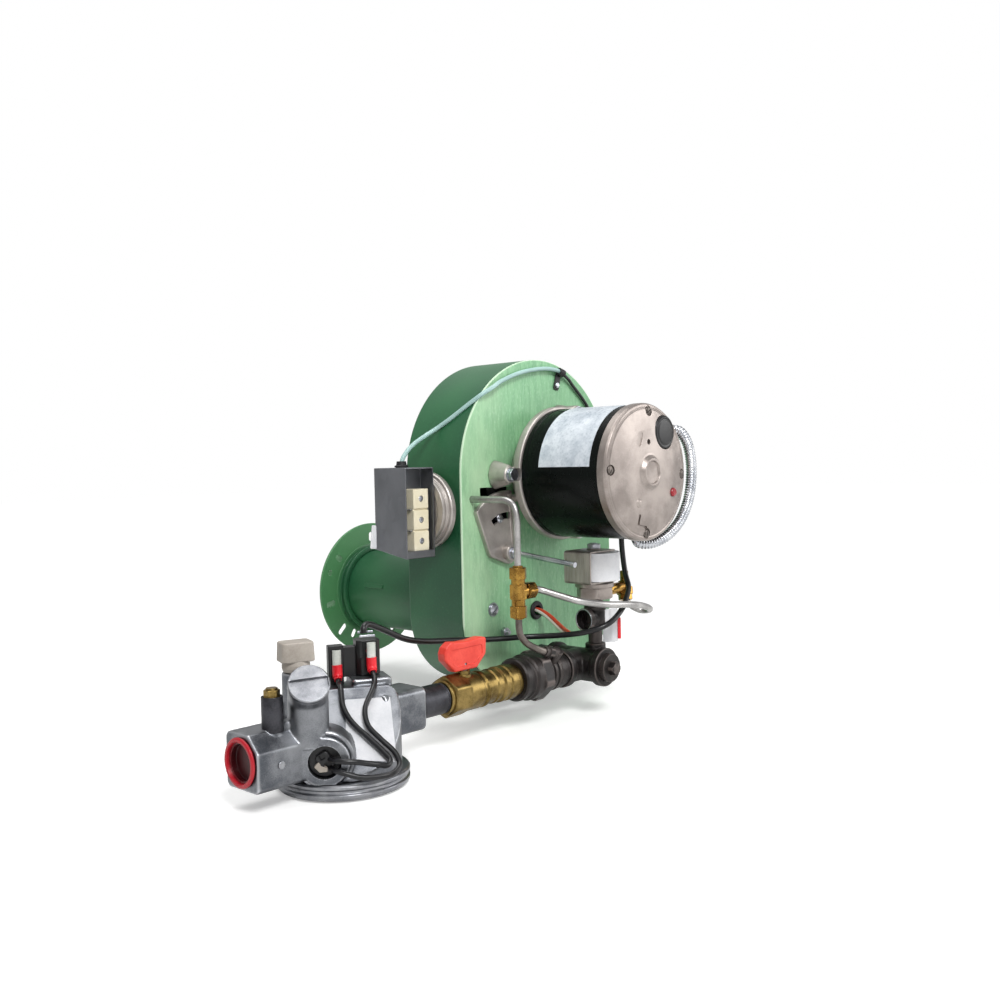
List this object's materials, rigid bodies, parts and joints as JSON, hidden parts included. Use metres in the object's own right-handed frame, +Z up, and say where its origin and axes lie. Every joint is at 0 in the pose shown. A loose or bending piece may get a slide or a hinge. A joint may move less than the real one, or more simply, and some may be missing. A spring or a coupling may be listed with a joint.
{
  "type": "industrial gas burner",
  "caption": "Gas burner for a boiler or incinerator: green blower housing with a front motor, slotted flange on the air tube, a gas train with valves, and a pilot line with a solenoid valve",
  "frame": {"origin": "On the air tube's axis, at the rear face of the mounting flange", "axes": "+Y is the way the flame leaves, out of the flange's rear face; +Z is up; +X is the right side seen from the motor"},
  "size_m": [0.5116, 0.4442, 0.3494],
  "materials": {
    "dark_green_paint": "smooth gloss paint",
    "pale_green_paint": "fine hammered paint",
    "black_enamel": "gloss",
    "cast_aluminium": "as cast",
    "black_iron": "oiled",
    "brass": "satin",
    "zinc_plate": "zinc plated",
    "steel": "plain",
    "aluminium_tube": "drawn",
    "grey_steel": "satin",
    "chrome_plate": "polished",
    "black_rubber": "satin",
    "black_plastic": "satin",
    "grey_sheath": "satin",
    "red_plastic": "gloss",
    "red_vinyl": "satin",
    "cream_plastic": "satin",
    "beige_plastic": "satin"
  },
  "bodies": {
    "burner": {"housing_shell": "dark_green_paint", "front_plate": "pale_green_paint", "air_tube": "dark_green_paint", "mounting_flange": "dark_green_paint", "motor_shell": "black_enamel", "motor_front_bell": "cast_aluminium", "motor_rear_bell": "cast_aluminium", "motor_plug": "black_rubber", "mount_bolt_1": "zinc_plate", "mount_bolt_2": "zinc_plate", "mount_bolt_3": "zinc_plate", "motor_stator": "black_iron", "wiring_conduit": "zinc_plate", "switch_pan": "zinc_plate", "switch_box": "zinc_plate", "switch_terminals": "cream_plastic", "switch_bush": "black_rubber", "signal_cable": "grey_sheath", "cable_clip": "black_rubber", "gas_tee": "black_iron", "tee_plug": "black_iron", "manifold_nipple": "black_iron", "union_body": "black_iron", "union_nut": "black_iron", "union_tail": "black_iron", "ball_valve_body": "brass", "outlet_nipple": "black_iron", "gas_valve_body": "cast_aluminium", "gas_valve_base": "cast_aluminium", "inlet_cap": "red_plastic", "regulator_cap": "cast_aluminium", "pressure_tap": "brass", "valve_terminal_block": "black_plastic", "valve_lead_left": "black_rubber", "valve_lead_right": "black_rubber", "control_cable": "black_rubber", "ignition_wires": "red_vinyl", "pilot_riser": "black_iron", "solenoid_body": "cast_aluminium", "solenoid_yoke": "grey_steel", "solenoid_coil": "zinc_plate", "solenoid_nut": "zinc_plate", "pilot_elbow": "brass", "pilot_tee": "brass", "pilot_burner_tube": "aluminium_tube", "pilot_feed_tube": "aluminium_tube", "pilot_branch_tube": "aluminium_tube", "gas_manifold": "black_iron", "gas_nozzle": "brass", "flame_diffuser": "steel", "pilot_burner": "steel"},
    "shutter": {"air_shutter": "cast_aluminium", "shutter_rod": "steel"},
    "rotor": {"motor_rotor": "steel", "fan_wheel": "steel"},
    "valve_handle_set": {"valve_ball": "chrome_plate", "valve_handle": "red_vinyl"},
    "control_knob": {"gas_knob": "beige_plastic"},
    "reset": {"reset_button": "red_plastic"},
    "plunger": {"solenoid_plunger": "steel"}
  },
  "joints": [
    {"name": "fan_spin", "type": "hinge", "parent": "burner", "child": "rotor", "pos_m": [0, -0.3, 0.134], "axis": [0, 1, 0], "continuous": true},
    {"name": "shutter_swing", "type": "hinge", "parent": "burner", "child": "shutter", "pos_m": [-0.0545, -0.27, 0.0575], "axis": [0, -1, 0], "range_deg": [0, 20]},
    {"name": "ball_valve_turn", "type": "hinge", "parent": "burner", "child": "valve_handle_set", "pos_m": [-0.168, -0.32, -0.054], "axis": [0, 0, 1], "range_deg": [0, 90]},
    {"name": "gas_knob_turn", "type": "hinge", "parent": "burner", "child": "control_knob", "pos_m": [-0.332, -0.303, 0], "axis": [0, 0, 1], "range_deg": [0, 90]},
    {"name": "reset_press", "type": "slide", "parent": "burner", "child": "reset", "axis": [0, 1, 0], "range_m": [0, 0.002], "stiffness_N_per_m": 200},
    {"name": "plunger_lift", "type": "slide", "parent": "burner", "child": "plunger", "axis": [0, 0, 1], "range_m": [0, 0.002], "stiffness_N_per_m": 100}
  ]
}
